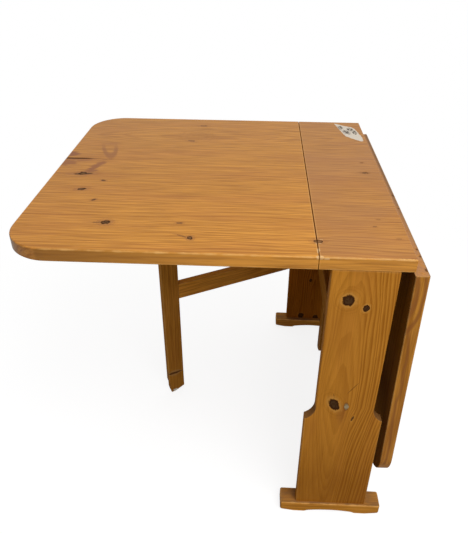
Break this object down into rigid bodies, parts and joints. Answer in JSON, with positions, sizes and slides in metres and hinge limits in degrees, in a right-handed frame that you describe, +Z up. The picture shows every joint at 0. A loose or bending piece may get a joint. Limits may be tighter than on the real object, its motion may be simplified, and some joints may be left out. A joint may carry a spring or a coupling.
{
  "type": "gateleg table",
  "caption": "Gateleg drop-leaf table in pine: narrow fixed centre board on two shaped end panels with sled feet, one leaf raised on its swung-out gate, one leaf hanging.",
  "frame": {"origin": "on the floor, at the middle of the bounding box of the table as it stands with one leaf raised", "axes": "+X across the table from the raised leaf towards the hanging leaf, +Y along the leaf joints towards the end where the swung-out gate pivots, +Z up"},
  "size_m": [0.8112, 0.776, 0.74],
  "materials": {
    "pine_top": "satin honey-coloured varnish on knotty pine, grain across the table",
    "pine_leaf": "satin honey-coloured varnish on knotty pine, grain along the leaf reach",
    "pine_panel": "satin honey-coloured varnish on knotty pine, grain upright",
    "pine_foot": "satin honey-coloured varnish on pine, worn at the edges",
    "pine_gate": "darker satin varnish on pine",
    "pine_rail": "satin varnish on pine",
    "pine_plug": "pale end-grain plug",
    "hinge_steel": "yellow-passivated zinc plate",
    "steel_pin": "bright drawn steel",
    "screw_steel": "yellow-passivated zinc plate"
  },
  "bodies": {
    "stand": {"centre_top": "pine_top", "front_end_panel": "pine_panel", "front_foot": "pine_foot", "left_fixed_hinge_flaps": "hinge_steel", "left_gate_pins": "steel_pin", "left_hinge_pins": "hinge_steel", "left_lower_pivot_block": "pine_rail", "left_upper_pivot_block": "pine_rail", "rear_end_panel": "pine_panel", "rear_foot": "pine_foot", "right_fixed_hinge_flaps": "hinge_steel", "right_gate_pins": "steel_pin", "right_hinge_pins": "hinge_steel", "right_lower_pivot_block": "pine_rail", "right_upper_pivot_block": "pine_rail", "stretcher": "pine_rail", "stretcher_plugs": "pine_plug", "stretcher_screws": "screw_steel", "top_cleats": "pine_rail", "top_rail": "pine_rail"},
    "left_leaf": {"left_leaf": "pine_leaf", "left_leaf_hinge_flaps": "hinge_steel"},
    "right_leaf": {"right_leaf": "pine_leaf", "right_leaf_hinge_flaps": "hinge_steel"},
    "left_gate": {"left_gate_leg": "pine_gate", "left_gate_lower_rail": "pine_gate", "left_gate_stile": "pine_gate", "left_gate_upper_rail": "pine_gate"},
    "right_gate": {"right_gate_leg": "pine_gate", "right_gate_lower_rail": "pine_gate", "right_gate_stile": "pine_gate", "right_gate_upper_rail": "pine_gate"}
  },
  "joints": [
    {"name": "left_gate_swing", "type": "hinge", "parent": "stand", "child": "left_gate", "pos_m": [0.24677, 0.2395, 0.5], "axis": [0, 0, 1], "range_deg": [-28.7, 61.3]},
    {"name": "right_leaf_fold", "type": "hinge", "parent": "stand", "child": "right_leaf", "pos_m": [0.36217, 0, 0.709], "axis": [0, -1, 0], "range_deg": [0, 88.8]},
    {"name": "left_leaf_fold", "type": "hinge", "parent": "stand", "child": "left_leaf", "pos_m": [0.19237, 0, 0.709], "axis": [0, 1, 0], "range_deg": [0, 2]},
    {"name": "right_gate_swing", "type": "hinge", "parent": "stand", "child": "right_gate", "pos_m": [0.30777, -0.2395, 0.5], "axis": [0, 0, -1], "range_deg": [0, 5.5]}
  ]
}
